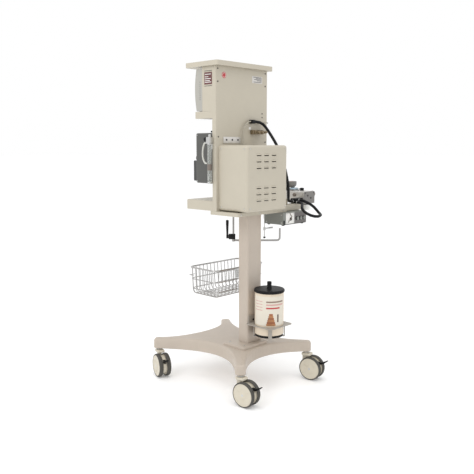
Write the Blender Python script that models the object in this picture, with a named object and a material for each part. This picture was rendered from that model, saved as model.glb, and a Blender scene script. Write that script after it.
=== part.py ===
"""Anaesthesia workstation on a four-caster column trolley.

Blender 4.5, metres, +Z up. The origin is on the floor under the column.
The operator stands at -Y, the rear service side is +Y, the operator's right is +X.
"""

import bpy
import bmesh
from math import atan2, cos, hypot, pi, radians, sin
from mathutils import Matrix, Vector

# ---------------------------------------------------------------- driving dimensions
GAP = 0.0003                    # clearance between touching pieces
WALL = 0.002                    # folded sheet thickness

WHEEL_RADIUS = 0.050            # 100 mm twin-wheel casters
WHEEL_INNER, WHEEL_OUTER = 0.0082, 0.0272
WHEEL_TRAIL = 0.030
CASTERS = {                     # stem position and the way each caster happens to point
    "rear_right": (0.206, 0.142, 4.5),
    "rear_left": (-0.206, 0.142, 10.0),
    "front_right": (0.206, -0.350, -20.0),
    "front_left": (-0.206, -0.350, 14.0),
}

BASE_BOTTOM = 0.1215
BASE_EDGE = 0.1630              # top of the casting at the arm ends
BASE_CROWN = 0.1755             # top of the casting under the column foot
ARM_HALF = 0.021
ARM_TIPS = ((0.220, 0.156), (-0.220, 0.156), (-0.220, -0.366), (0.220, -0.366))

FOOT_TOP = 0.1825
COLUMN_X, COLUMN_Y = 0.087, 0.054
DECK_BOTTOM, DECK_TOP = 0.7221, 0.7366
DECK_X, DECK_REAR, DECK_FRONT = 0.150, 0.0725, -0.080

TOWER_X = 0.150
TOWER_REAR = -0.0436
TOWER_FRONT = -0.0660           # thin lower tower
HEAD_FRONT = -0.1226            # deeper display head
SHELF_BOTTOM, SHELF_TOP = 1.1051, 1.1324
TOWER_TOP = 1.3066
TOP_SHELF = (-0.1654, 0.1654, -0.2074, -0.0224, 1.3069, 1.3254)

COVER = (-0.1025, 0.1364, TOWER_REAR + GAP, 0.1120, 0.7400, 0.9995)
LOUVRE_X = (0.0701, 0.0264, -0.0188)
LOUVRE_Z = (0.9595, 0.9350, 0.9100, 0.8322, 0.8076, 0.7825)

WORKTOP = (-TOWER_X, TOWER_X, -0.2220, TOWER_FRONT - GAP, 0.7371, 0.7772)

VAPORIZER = (0.028, 0.128, -0.187, -0.088, 0.8450, 1.0485)
FLOWMETER_X, FLOWMETER_Y = 0.1635, -0.0690

BLOCK = (-0.3570, -0.2824, -0.1200, 0.0600, 0.7455, 0.7995)
GAUGE = (-0.3150, -0.0470)
DOME = (-0.3200, -0.0270)
BOWL = (-0.3250, 0.0330)

CANISTER = (-0.0128, 0.0970)
CANISTER_RADIUS = 0.0597
CANISTER_FLOOR = 0.2210
CANISTER_TOP = 0.4058
HOLDER_Z = 0.2705
HOLDER_HALF = 0.0697

BASKET = (-0.162, 0.140, -0.229, -0.0600, 0.371, 0.490)

HOSE_DIAMETER = 0.0120

HOOK_PIVOT = (0.0035, -0.0923)
HOOK_END = (-0.1327, 0.0494)
HOOK_Z = 0.6000
HOOK_ROD = 0.0040

# ---------------------------------------------------------------- materials
PAINT = (0.80, 0.77, 0.69)


def material(name, colour, roughness=0.5, metallic=0.0):
    mat = bpy.data.materials.get(name)
    if mat is None:
        mat = bpy.data.materials.new(name)
        mat.use_nodes = True
        shader = mat.node_tree.nodes["Principled BSDF"]
        shader.inputs["Base Color"].default_value = (*colour, 1.0)
        shader.inputs["Roughness"].default_value = roughness
        shader.inputs["Metallic"].default_value = metallic
        mat.diffuse_color = (*colour, 1.0)
    return mat


def paint():
    return material("ivory_paint", PAINT, 0.45)


def casting_paint():
    return material("casting_paint", (0.72, 0.67, 0.62), 0.50)


def black_plastic():
    return material("black_plastic", (0.03, 0.03, 0.03), 0.45)


def white_plastic():
    return material("white_plastic", (0.86, 0.84, 0.78), 0.40)


def steel():
    return material("bright_steel", (0.68, 0.68, 0.67), 0.30, 1.0)


# ---------------------------------------------------------------- solid builders
def clear_scene():
    for item in list(bpy.data.objects):
        bpy.data.objects.remove(item, do_unlink=True)


def add_object(name, bm, mat, location=(0, 0, 0), turn=(0, 0, 0), parent=None):
    bmesh.ops.recalc_face_normals(bm, faces=bm.faces)
    mesh = bpy.data.meshes.new(name)
    bm.to_mesh(mesh)
    bm.free()
    item = bpy.data.objects.new(name, mesh)
    bpy.context.collection.objects.link(item)
    item.location = location
    item.rotation_euler = turn
    item.parent = parent
    mesh.materials.append(mat)
    return item


def box_mesh(limits, radius=0.0, segments=2, pick=None):
    """Axis-aligned box; pick chooses the edges that are rounded."""
    x0, x1, y0, y1, z0, z1 = limits
    bm = bmesh.new()
    bmesh.ops.create_cube(bm, size=1.0)
    bmesh.ops.scale(bm, vec=(x1 - x0, y1 - y0, z1 - z0), verts=bm.verts)
    bmesh.ops.translate(bm, vec=((x0 + x1) / 2, (y0 + y1) / 2, (z0 + z1) / 2), verts=bm.verts)
    if radius > 0:
        edges = [e for e in bm.edges if pick is None or pick(e)]
        bmesh.ops.bevel(bm, geom=edges, offset=radius, segments=segments, profile=0.5, affect="EDGES")
    return bm


def box(name, limits, mat, radius=0.0, segments=2, pick=None, at=(0, 0, 0), parent=None):
    return add_object(name, box_mesh(limits, radius, segments, pick), mat, at, parent=parent)


def along(edge, axis):
    direction = (edge.verts[1].co - edge.verts[0].co).normalized()
    return abs(direction[axis]) > 0.99


def upright(edge):
    return along(edge, 2)


AXIS_TURN = {
    "+Z": Matrix.Identity(4),
    "-Z": Matrix.Rotation(pi, 4, "X"),
    "+X": Matrix.Rotation(pi / 2, 4, "Y"),
    "-X": Matrix.Rotation(-pi / 2, 4, "Y"),
    "+Y": Matrix.Rotation(-pi / 2, 4, "X"),
    "-Y": Matrix.Rotation(pi / 2, 4, "X"),
}


def lathe_mesh(profile, axis="+Z", segments=32, closed=False):
    """Revolve (radius, height) points; a closed profile makes a tube."""
    bm = bmesh.new()
    rings = []
    for radius, height in profile:
        if radius < 1e-6:
            rings.append([bm.verts.new((0, 0, height))])
            continue
        ring = []
        for k in range(segments):
            a = 2 * pi * k / segments
            ring.append(bm.verts.new((radius * cos(a), radius * sin(a), height)))
        rings.append(ring)
    pairs = list(zip(rings, rings[1:]))
    if closed:
        pairs.append((rings[-1], rings[0]))
    for low, high in pairs:
        for k in range(segments):
            n = (k + 1) % segments
            if len(low) == 1 and len(high) > 1:
                bm.faces.new((low[0], high[k], high[n]))
            elif len(high) == 1 and len(low) > 1:
                bm.faces.new((low[k], low[n], high[0]))
            elif len(low) > 1:
                bm.faces.new((low[k], low[n], high[n], high[k]))
    if not closed:
        for ring in (rings[0], rings[-1]):
            if len(ring) > 1:
                bm.faces.new(ring)
    bmesh.ops.transform(bm, matrix=AXIS_TURN[axis], verts=bm.verts)
    return bm


def lathe(name, profile, mat, at=(0, 0, 0), axis="+Z", segments=32, closed=False, parent=None):
    return add_object(name, lathe_mesh(profile, axis, segments, closed), mat, at, parent=parent)


def prism_mesh(outline, low, high, plane="XY"):
    """Extrude a closed outline between two heights along the plane's normal."""
    place = {
        "XY": lambda a, b, h: (a, b, h),
        "YZ": lambda a, b, h: (h, a, b),
        "XZ": lambda a, b, h: (a, h, b),
    }[plane]
    bm = bmesh.new()
    bottom = [bm.verts.new(place(a, b, low)) for a, b in outline]
    top = [bm.verts.new(place(a, b, high)) for a, b in outline]
    bm.faces.new(bottom)
    bm.faces.new(top)
    count = len(outline)
    for k in range(count):
        n = (k + 1) % count
        bm.faces.new((bottom[k], bottom[n], top[n], top[k]))
    return bm


def rounded_rectangle(half_x, half_y, radius, steps=4, centre=(0, 0)):
    points = []
    for quarter, (sx, sy) in enumerate(((1, 1), (-1, 1), (-1, -1), (1, -1))):
        for k in range(steps + 1):
            a = pi / 2 * (quarter + k / steps)
            x = centre[0] + sx * (half_x - radius) + radius * cos(a)
            y = centre[1] + sy * (half_y - radius) + radius * sin(a)
            points.append((x, y))
    return points


def tube_between_outlines(outer, inner, low, high):
    """Closed frame with a straight-through hole; both outlines have the same point count."""
    bm = bmesh.new()
    loops = []
    for outline, z in ((outer, low), (outer, high), (inner, high), (inner, low)):
        loops.append([bm.verts.new((x, y, z)) for x, y in outline])
    count = len(outer)
    for low_loop, high_loop in zip(loops, loops[1:] + loops[:1]):
        for k in range(count):
            n = (k + 1) % count
            bm.faces.new((low_loop[k], low_loop[n], high_loop[n], high_loop[k]))
    return bm


def rod_mesh(points, radius, segments=10):
    """Round bar swept along points, with mitred corners and closed ends."""
    path = [Vector(p) for p in points]
    bm = bmesh.new()
    rings = []
    normal = None
    for k, point in enumerate(path):
        before = (point - path[k - 1]).normalized() if k else None
        after = (path[k + 1] - point).normalized() if k + 1 < len(path) else None
        tangent = ((before or after) + (after or before)).normalized()
        if normal is None:
            seed = Vector((0, 0, 1)) if abs(tangent.z) < 0.9 else Vector((1, 0, 0))
            normal = (seed - tangent * seed.dot(tangent)).normalized()
        else:
            normal = (normal - tangent * normal.dot(tangent)).normalized()
        side = tangent.cross(normal)
        stretch = 1.0
        if before is not None and after is not None:
            stretch = 1.0 / max(0.5, before.dot(tangent))
        bend = Vector((0, 0, 0))
        if before is not None and after is not None and before.cross(after).length > 1e-6:
            bend = (after - before).normalized()
        ring = []
        for j in range(segments):
            a = 2 * pi * j / segments
            offset = (normal * cos(a) + side * sin(a)) * radius
            if bend.length > 0:
                offset += bend * offset.dot(bend) * (stretch - 1.0)
            ring.append(bm.verts.new(point + offset))
        rings.append(ring)
    for low, high in zip(rings, rings[1:]):
        for j in range(segments):
            n = (j + 1) % segments
            bm.faces.new((low[j], low[n], high[n], high[j]))
    bm.faces.new(rings[0])
    bm.faces.new(rings[-1])
    return bm


def combine(target, tool, operation, solver="EXACT"):
    tool.hide_render = True
    tool.display_type = "WIRE"
    step = target.modifiers.new(tool.name, "BOOLEAN")
    step.operation = operation
    step.object = tool
    step.solver = solver


def cut(target, bm, label):
    tool = add_object(label, bm, paint(), target.location, target.rotation_euler, target.parent)
    combine(target, tool, "DIFFERENCE")


def fuse(target, bm, label):
    tool = add_object(label, bm, target.data.materials[0], target.location, target.rotation_euler,
                      target.parent)
    combine(target, tool, "UNION")


def moved(bm, vec):
    bmesh.ops.translate(bm, vec=vec, verts=bm.verts)
    return bm


def join_meshes(parts):
    """Put several separate closed meshes in one bmesh, for a cutter."""
    whole = bmesh.new()
    for part in parts:
        mesh = bpy.data.meshes.new("part")
        part.to_mesh(mesh)
        part.free()
        whole.from_mesh(mesh)
        bpy.data.meshes.remove(mesh)
    return whole


def smooth_route(points, spacing):
    """Catmull-Rom curve through route points, resampled at an even spacing."""
    knots = [Vector(p) for p in points]
    knots = [knots[0] * 2 - knots[1]] + knots + [knots[-1] * 2 - knots[-2]]
    fine = []
    for k in range(1, len(knots) - 2):
        a, b, c, d = knots[k - 1:k + 3]
        for j in range(24):
            t = j / 24
            fine.append(0.5 * ((2 * b) + (c - a) * t + (2 * a - 5 * b + 4 * c - d) * t * t
                               + (3 * b - a - 3 * c + d) * t ** 3))
    fine.append(knots[-2])
    lengths = [0.0]
    for one, two in zip(fine, fine[1:]):
        lengths.append(lengths[-1] + (two - one).length)
    count = max(4, round(lengths[-1] / spacing))
    route = []
    place = 0
    for k in range(count + 1):
        goal = lengths[-1] * k / count
        while place < len(fine) - 2 and lengths[place + 1] < goal:
            place += 1
        span = lengths[place + 1] - lengths[place]
        t = (goal - lengths[place]) / span if span > 0 else 0.0
        route.append(fine[place].lerp(fine[place + 1], min(1.0, max(0.0, t))))
    return route


def cord(name, points, diameter, mat, resolution=2):
    curve = bpy.data.curves.new(name, "CURVE")
    curve.dimensions = "3D"
    curve.bevel_depth = diameter / 2
    curve.bevel_resolution = resolution
    curve.use_fill_caps = True
    route = smooth_route(points, diameter * 1.5)
    lead, tail = Vector(points[1]), Vector(points[-2])
    clear = diameter * 0.8
    middle = [p for p in route if min((p - route[0]).length - (lead - route[0]).length,
                                      (p - route[-1]).length - (tail - route[-1]).length) > clear]
    route = [route[0], lead] + middle + [tail, route[-1]]
    spline = curve.splines.new("POLY")
    spline.points.add(len(route) - 1)
    for slot, point in zip(spline.points, route):
        slot.co = (*point, 1.0)
    curve.materials.append(mat)
    item = bpy.data.objects.new(name, curve)
    bpy.context.collection.objects.link(item)
    return item


# ---------------------------------------------------------------- trolley
def bezier(p0, p1, p2, p3, steps):
    points = []
    for k in range(1, steps):
        t = k / steps
        u = 1 - t
        x = u ** 3 * p0[0] + 3 * u * u * t * p1[0] + 3 * u * t * t * p2[0] + t ** 3 * p3[0]
        y = u ** 3 * p0[1] + 3 * u * u * t * p1[1] + 3 * u * t * t * p2[1] + t ** 3 * p3[1]
        points.append((x, y))
    return points


def base_outline():
    """Four blunt arm ends joined by deep concave webs, anticlockwise."""
    headings = [radians(a) for a in (45, 135, 232, 308)]
    reach = (0.173, 0.229, 0.173, 0.229)
    ends = []
    for (x, y), a in zip(ARM_TIPS, headings):
        out = Vector((cos(a), sin(a)))
        side = Vector((-sin(a), cos(a)))
        tip = Vector((x, y))
        corner = 0.013
        points = []
        for sign, start in ((-1, -pi / 2), (1, 0.0)):
            middle = tip + side * sign * (ARM_HALF - corner) - out * corner
            for k in range(5):
                b = start + pi / 2 * k / 4
                points.append(middle + (out * cos(b) + side * sin(b)) * corner)
        ends.append((points, out))
    outline = []
    for k, (points, out) in enumerate(ends):
        following, next_out = ends[(k + 1) % 4]
        outline += [tuple(p) for p in points]
        start, finish = points[-1], following[0]
        outline += bezier(start, start - out * reach[k], finish - next_out * reach[k], finish, 16)
    return outline


def base_top(x, y):
    """Height of the casting's upper edge: lower at the arm ends, higher at the webs."""
    nearest = min(hypot(x - a, y - b) for a, b in ARM_TIPS)
    t = min(1.0, nearest / 0.24)
    return BASE_EDGE + (BASE_CROWN - 0.003 - BASE_EDGE) * t * t * (3 - 2 * t)


def inset_outline(outline, distance):
    count = len(outline)
    moved = []
    for k in range(count):
        ax, ay = outline[k - 1]
        bx, by = outline[(k + 1) % count]
        length = hypot(bx - ax, by - ay)
        moved.append((outline[k][0] - (by - ay) / length * distance,
                      outline[k][1] + (bx - ax) / length * distance))
    return moved


def build_base():
    outline = base_outline()
    centre = Vector((0.0, -0.100))
    bm = bmesh.new()
    rings = []

    def ring(points, height):
        rings.append([bm.verts.new((x, y, height(x, y))) for x, y in points])

    ring(inset_outline(outline, 0.002), lambda x, y: BASE_BOTTOM)
    ring(outline, lambda x, y: BASE_BOTTOM + 0.002)
    for k in range(4):
        a = pi / 2 * k / 3
        inward = 0.009 * (1 - cos(a))
        drop = 0.009 * (1 - sin(a))
        ring(inset_outline(outline, inward), lambda x, y, d=drop: base_top(x, y) - d)
    inner = inset_outline(outline, 0.009)
    for share in (0.80, 0.58, 0.36):
        points = [(centre.x + (x - centre.x) * share, centre.y + (y - centre.y) * share) for x, y in inner]
        lift = (1 - share) ** 0.8
        heights = [base_top(x, y) * (1 - lift) + BASE_CROWN * lift for x, y in inner]
        rings.append([bm.verts.new((*p, h)) for p, h in zip(points, heights)])
    count = len(outline)
    for low, high in zip(rings, rings[1:]):
        for k in range(count):
            n = (k + 1) % count
            bm.faces.new((low[k], low[n], high[n], high[k]))
    crown = bm.verts.new((centre.x, centre.y, BASE_CROWN))
    floor = bm.verts.new((centre.x, centre.y, BASE_BOTTOM))
    for k in range(count):
        n = (k + 1) % count
        bm.faces.new((rings[-1][k], rings[-1][n], crown))
        bm.faces.new((rings[0][n], rings[0][k], floor))
    base = add_object("base_casting", bm, casting_paint())
    sockets = []
    for x, y, _ in CASTERS.values():
        socket = lathe_mesh([(0.0062, -0.010), (0.0062, 0.024)], segments=20)
        sockets.append(moved(socket, (x, y, BASE_BOTTOM)))
    cut(base, join_meshes(sockets), "cutter_stem_sockets")
    foot = box_mesh((-0.046, 0.100, -0.060, 0.058, BASE_CROWN - 0.010, FOOT_TOP), 0.0045, 2,
                    lambda e: not all(v.co.z < BASE_CROWN for v in e.verts))
    fuse(base, foot, "fuse_column_foot")


def build_caster(place, x, y, heading):
    pivot = bpy.data.objects.new("caster_" + place + "_pivot", None)
    bpy.context.collection.objects.link(pivot)
    pivot.location = (x, y, 0)
    pivot.rotation_euler = (0, 0, radians(heading))
    axle = (0, WHEEL_TRAIL, WHEEL_RADIUS)
    outline = []
    for k in range(23):
        a = radians(205 - 250 * k / 22)
        outline.append((WHEEL_TRAIL + 0.041 * cos(a), WHEEL_RADIUS + 0.041 * sin(a)))
    outline += [(WHEEL_TRAIL + 0.012, 0.036), (WHEEL_TRAIL - 0.012, 0.036)]
    fork = add_object("caster_" + place + "_fork", prism_mesh(outline, -0.0076, 0.0076, "YZ"),
                      white_plastic(), parent=pivot)
    fuse(fork, box_mesh((-0.0165, 0.0165, -0.0150, 0.0260, 0.1005, 0.1130), 0.0045, 2),
         "fuse_" + place + "_crown")
    neck = (-0.0074, 0.0074, -0.0145, 0.0100, 0.0650, 0.1040)
    fuse(fork, box_mesh(neck, 0.003, 2), "fuse_" + place + "_neck")
    stem = [(0.0105, 0.1120), (0.0105, 0.1180), (0.0056, 0.1190), (0.0056, 0.1430), (0.0045, 0.1442)]
    fuse(fork, lathe_mesh(stem, segments=20), "fuse_" + place + "_stem")
    bore = lathe_mesh([(0.0046, -0.020), (0.0046, 0.020)], "+X", 20)
    cut(fork, moved(bore, axle), "cutter_" + place + "_axle")
    slot = box_mesh((-0.0062, 0.0062, WHEEL_TRAIL + 0.0145, WHEEL_TRAIL + 0.060, 0.0640, 0.0802))
    cut(fork, slot, "cutter_" + place + "_lever")

    tread = 0.0035
    half = [(0.0042, 0.0), (0.0042, WHEEL_INNER), (0.041, WHEEL_INNER), (0.0425, 0.0095),
            (WHEEL_RADIUS - tread, WHEEL_INNER), (WHEEL_RADIUS, WHEEL_INNER + tread),
            (WHEEL_RADIUS, WHEEL_OUTER - tread), (WHEEL_RADIUS - tread, WHEEL_OUTER),
            (0.0440, WHEEL_OUTER), (0.0425, WHEEL_OUTER - 0.0015), (0.010, WHEEL_OUTER - 0.0008),
            (0.0, WHEEL_OUTER - 0.0004)]
    profile = [(r, -h) for r, h in reversed(half)] + half[1:]
    lathe("caster_" + place + "_wheels", profile, material("tyre_rubber", (0.07, 0.065, 0.06), 0.75),
          axle, "+X", 40, parent=pivot)

    hinge = (0, WHEEL_TRAIL + 0.022, 0.0751)
    lever = [(-0.0040, -0.0030), (0.0000, -0.0042), (0.024, -0.0032), (0.040, 0.0050), (0.052, 0.0150),
             (0.050, 0.0175), (0.036, 0.0100), (0.022, 0.0042), (0.0000, 0.0044), (-0.0040, 0.0030)]
    add_object("caster_" + place + "_brake", prism_mesh(lever, -0.0056, 0.0056, "YZ"),
               black_plastic(), hinge, parent=pivot)


def build_column():
    outer = rounded_rectangle(COLUMN_X / 2, COLUMN_Y / 2, 0.009)
    inner = rounded_rectangle(COLUMN_X / 2 - 0.003, COLUMN_Y / 2 - 0.003, 0.006)
    add_object("column", tube_between_outlines(outer, inner, FOOT_TOP + GAP, DECK_BOTTOM - GAP),
               casting_paint())
    box("support_plate", (-DECK_X, DECK_X, DECK_FRONT, DECK_REAR, DECK_BOTTOM, DECK_TOP), paint(),
        0.002, 2, upright)


def build_basket():
    x0, x1, y0, y1, z0, z1 = BASKET
    wall = 0.003
    basket = box("basket", BASKET, steel(), 0.022, 4, upright)
    inside = box_mesh((x0 + wall, x1 - wall, y0 + wall, y1 - wall, z0 + wall, z1 + 0.02), 0.019, 4, upright)
    cut(basket, inside, "cutter_basket")
    box("basket_bracket", (-0.032, 0.032, y1 + GAP, -COLUMN_Y / 2 - GAP, 0.450, 0.486), steel(), 0.002, 1)


def build_canister():
    cx, cy = CANISTER
    low, top, radius = CANISTER_FLOOR, CANISTER_TOP, CANISTER_RADIUS
    body = [(radius - 0.0045, low), (radius - 0.0030, low + 0.0015), (radius - 0.0030, low + 0.0110),
            (radius, low + 0.0124), (radius, top - 0.0010), (radius - 0.0015, top)]
    lathe("canister_body", body, material("canister_shell", (0.90, 0.87, 0.80), 0.40), (cx, cy, 0),
          segments=48)
    low = top + GAP
    lid = [(radius - 0.0012, low), (0.0622, low + 0.0012), (0.0622, low + 0.0100), (0.0601, low + 0.0120),
           (0.0120, low + 0.0132), (0.0100, low + 0.0147), (0.0090, low + 0.0310), (0.0095, low + 0.0328),
           (0.0095, low + 0.0385), (0.0086, low + 0.0410), (0.0062, low + 0.0410), (0.0062, low + 0.0139),
           (0.0, low + 0.0139)]
    lathe("canister_lid", lid, black_plastic(), (cx, cy, 0), segments=48)

    half, sheet, points = HOLDER_HALF, 0.003, 48
    outer, hole = [], []
    for k in range(points):
        a = 2 * pi * (k + 0.5) / points
        reach = min(half / max(abs(cos(a)), 1e-9), half / max(abs(sin(a)), 1e-9), half * 1.345)
        outer.append((cx + reach * cos(a), cy + reach * sin(a)))
        hole.append((cx + 0.0612 * cos(a), cy + 0.0612 * sin(a)))
    holder = add_object("canister_holder", tube_between_outlines(outer, hole, HOLDER_Z - sheet, HOLDER_Z),
                        material("holder_paint", (0.66, 0.64, 0.60), 0.4, 0.2))
    back = cy - half
    fuse(holder, box_mesh((-0.0400, 0.0400, back, back + sheet, HOLDER_Z - sheet + 0.0001, 0.2985)),
         "fuse_column_flange")
    for k in range(4):
        a = radians(45 + 90 * k)
        strap = box_mesh((0.0622, 0.0650, -0.0075, 0.0075, 0.2174, HOLDER_Z - 0.001))
        toe = box_mesh((0.0420, 0.0640, -0.0074, 0.0074, 0.2174, 0.2203))
        for bm in (strap, toe):
            bmesh.ops.rotate(bm, cent=(0, 0, 0), matrix=Matrix.Rotation(a, 3, "Z"), verts=bm.verts)
            moved(bm, (cx, cy, 0))
        fuse(holder, strap, "fuse_strap_%d" % k)
        fuse(holder, toe, "fuse_toe_%d" % k)


# ---------------------------------------------------------------- cabinet
def build_tower():
    def side(front_head, front_low, rear, low, step, top):
        return [(rear, low), (rear, top), (front_head, top), (front_head, step),
                (front_low, step), (front_low, low)]

    rear = TOWER_REAR - WALL - GAP
    head_floor = SHELF_TOP + GAP
    shell = add_object("tower_shell", prism_mesh(
        side(HEAD_FRONT, TOWER_FRONT, rear, DECK_TOP + GAP, head_floor, TOWER_TOP),
        -TOWER_X, TOWER_X, "YZ"), paint())
    hollow = prism_mesh(side(HEAD_FRONT + WALL, TOWER_FRONT + WALL, rear + 0.02, DECK_TOP + GAP + WALL,
                             head_floor + WALL, TOWER_TOP - WALL), -TOWER_X + WALL, TOWER_X - WALL, "YZ")
    cut(shell, hollow, "cutter_tower")
    box("rear_panel", (-TOWER_X, TOWER_X, TOWER_REAR - WALL, TOWER_REAR, DECK_TOP + GAP, TOWER_TOP), paint())
    box("top_shelf", TOP_SHELF, paint(), 0.010, 4, upright)
    box("display_shelf", (-TOWER_X, TOWER_X, -0.1660, TOWER_FRONT - GAP, SHELF_BOTTOM, SHELF_TOP), paint(),
        0.004, 2, lambda e: all(v.co.y < -0.12 for v in e.verts))
    box("control_board", (-0.120, 0.120, -0.1000, -0.0984, 1.150, 1.285),
        material("board_green", (0.05, 0.22, 0.10), 0.5))


def build_display():
    front, ends, back = -0.1650, -0.1560, HEAD_FRONT - GAP
    low, high = 1.1345, 1.2985
    outline = [(back, low), (back, high)]
    for k in range(9):
        t = k / 8
        z = high + (low - high) * t
        outline.append((ends + (front - ends) * (1 - (2 * t - 1) ** 2), z))
    bezel = add_object("display_bezel", prism_mesh(outline, -TOWER_X, TOWER_X, "YZ"),
                       material("bezel_grey", (0.55, 0.54, 0.50), 0.45))
    cut(bezel, box_mesh((-0.128, 0.083, -0.20, -0.1500, 1.160, 1.280)), "cutter_screen")
    box("display_screen", (-0.1277, 0.0827, -0.1590, -0.1503, 1.1603, 1.2797),
        material("screen_glass", (0.02, 0.025, 0.03), 0.12), 0.0008, 1)
    knob = [(0.0135, 0.0), (0.0150, 0.0015), (0.0140, 0.0150), (0.0120, 0.0170), (0.0, 0.0172)]
    lathe("menu_knob", knob, black_plastic(), (0.1165, -0.1648, 1.195), "-Y", 28)


def build_rear_cover():
    x0, x1, y0, y1, z0, z1 = COVER

    def outer_edge(edge):
        return not all(v.co.y < y0 + 0.001 for v in edge.verts)

    cover = box("rear_cover", COVER, paint(), 0.011, 3, outer_edge)
    inside = box_mesh((x0 + WALL, x1 - WALL, y0 - 0.03, y1 - WALL, z0 + WALL, z1 - WALL), 0.009, 3,
                      outer_edge)
    cut(cover, inside, "cutter_cover_inside")
    slots = []
    for x in LOUVRE_X:
        for z in LOUVRE_Z:
            slots.append(box_mesh((x - 0.0132, x + 0.0132, y1 - 0.006, y1 + 0.006, z - 0.0018, z + 0.0018)))
    cut(cover, join_meshes(slots), "cutter_louvres")
    box("power_supply", (-0.045, 0.115, 0.020, 0.095, z0 + WALL + GAP, 0.805),
        material("zinc_plate", (0.62, 0.63, 0.62), 0.4, 0.9), 0.002, 1)
    manifold = box("gas_manifold", (-0.080, 0.060, TOWER_REAR + GAP, -0.005, 0.860, 0.940),
                   material("anodised_aluminium", (0.70, 0.71, 0.72), 0.35, 0.9), 0.002, 1)
    for k in range(3):
        valve = lathe_mesh([(0.0110, -0.006), (0.0110, 0.012), (0.0095, 0.014)], "+Y", 24)
        fuse(manifold, moved(valve, (-0.052 + 0.040 * k, -0.004, 0.900)), "fuse_solenoid_%d" % k)


def build_rear_fittings():
    box("rear_port_block", (-0.0560, -0.0385, TOWER_REAR + GAP, -0.0230, 1.0880, 1.1030), black_plastic(),
        0.0020, 2)
    inlet = box("gas_inlet", (-0.1100, -0.0460, TOWER_REAR + GAP, -0.0240, 1.0440, 1.0620),
                material("brass", (0.72, 0.58, 0.34), 0.35, 1.0), 0.0020, 1)
    nipple = [(0.0070, -0.004), (0.0070, 0.006), (0.0048, 0.007), (0.0048, 0.018), (0.0056, 0.019),
              (0.0040, 0.026)]
    for k, x in enumerate((-0.0560, -0.0780, -0.1000)):
        fuse(inlet, moved(lathe_mesh(nipple, "+Y", 20), (x, -0.0240, 1.0530)), "fuse_nipple_%d" % k)


def build_worktop():
    x0, x1, y0, y1, z0, z1 = WORKTOP
    tray = box("worktop", WORKTOP, paint(), 0.005, 3,
               lambda e: not (all(v.co.y > y1 - 0.001 for v in e.verts)
                              or all(v.co.z < z0 + 0.001 for v in e.verts)))
    cut(tray, box_mesh((x0 + WALL, x1 - WALL, y0 + WALL, y1 - WALL, z0 - 0.02, z1 - WALL)), "cutter_worktop")


# ---------------------------------------------------------------- gas side
def build_vaporizer():
    x0, x1, y0, y1, z0, z1 = VAPORIZER
    grey = material("vaporizer_grey", (0.20, 0.20, 0.195), 0.40)
    box("back_bar", (-0.140, 0.138, y1 + GAP, TOWER_FRONT - GAP, 0.985, 1.010), steel(), 0.002, 1)
    box("vaporizer_body", VAPORIZER, grey, 0.006, 2)
    middle = (x0 + x1) / 2
    dial = [(0.0300, 0.0), (0.0310, 0.0015), (0.0310, 0.0100), (0.0280, 0.0125), (0.0140, 0.0130),
            (0.0120, 0.0170), (0.0, 0.0175)]
    lathe("vaporizer_dial", dial, black_plastic(), (middle, y0 - GAP, 1.0040), "-Y", 40)
    filler = box("vaporizer_filler", (x1 - 0.046, x1 - 0.006, y0 - 0.0215, y0 - GAP, 0.8530, 0.9370),
                 material("filler_dark", (0.10, 0.10, 0.10), 0.4), 0.003, 2)
    hoop = []
    for k in range(21):
        a = radians(-75 + 330 * k / 20)
        hoop.append((x1 - 0.026, y0 - 0.0145 - 0.0115 * sin(a), 0.9475 - 0.0115 * cos(a)))
    fuse(filler, rod_mesh(hoop, 0.0014, 8), "fuse_filler_ring")
    lock = lathe("vaporizer_lock", [(0.0090, 0.0), (0.0090, 0.0090), (0.0080, 0.0100), (0.0, 0.0100)],
                 black_plastic(), (middle, -0.105, z1 + GAP), segments=24)
    fuse(lock, box_mesh((-0.004, 0.040, -0.0045, 0.0045, 0.0015, 0.0085), 0.0015, 1), "fuse_lock_handle")


def build_flowmeter():
    x, y = FLOWMETER_X, FLOWMETER_Y
    valve = box("flowmeter_valve", (TOWER_X + GAP, x + 0.0105, y - 0.0100, y + 0.0100, 1.0060, 1.0310),
                steel(), 0.002, 1)
    cap = lathe_mesh([(0.0055, 1.0290), (0.0055, 1.0400), (0.0045, 1.0415)], segments=16)
    fuse(valve, moved(cap, (x - 0.0015, y, 0)), "fuse_valve_cap")
    collar = lathe_mesh([(0.0082, 1.0012), (0.0090, 1.0022), (0.0090, 1.0080)], segments=24)
    fuse(valve, moved(collar, (x, y, 0)), "fuse_valve_collar")
    outlet = lathe_mesh([(0.0036, -0.004), (0.0036, 0.0060)], "-Y", 16)
    fuse(valve, moved(outlet, (x + 0.0040, y - 0.0090, 1.0092)), "fuse_valve_outlet")
    knob = [(0.0085, 0.0), (0.0092, 0.0015), (0.0092, 0.0130), (0.0080, 0.0145), (0.0, 0.0147)]
    lathe("flowmeter_knob", knob, black_plastic(), (x, y - 0.0103, 1.0225), "-Y", 24)
    tube = [(0.0, 0.8470), (0.0083, 0.8470), (0.0083, 1.0009), (0.0045, 1.0009), (0.0045, 0.8570),
            (0.0, 0.8570)]
    glass = add_object("flowmeter_tube", lathe_mesh(tube, segments=24),
                       material("clear_tube", (0.82, 0.83, 0.80), 0.15), (x, y, 0))
    barb = lathe_mesh([(0.0036, 0.0070), (0.0036, 0.0130)], "-Y", 16)
    fuse(glass, moved(barb, (0.0, 0.0, 0.9270)), "fuse_tube_barb")
    ball = [(0.0036 * sin(pi * k / 8), -0.0036 * cos(pi * k / 8)) for k in range(9)]
    lathe("flowmeter_float", ball, material("float_black", (0.05, 0.05, 0.05), 0.3),
          (x, y, 0.8570 + 0.0039), segments=16)


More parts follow.
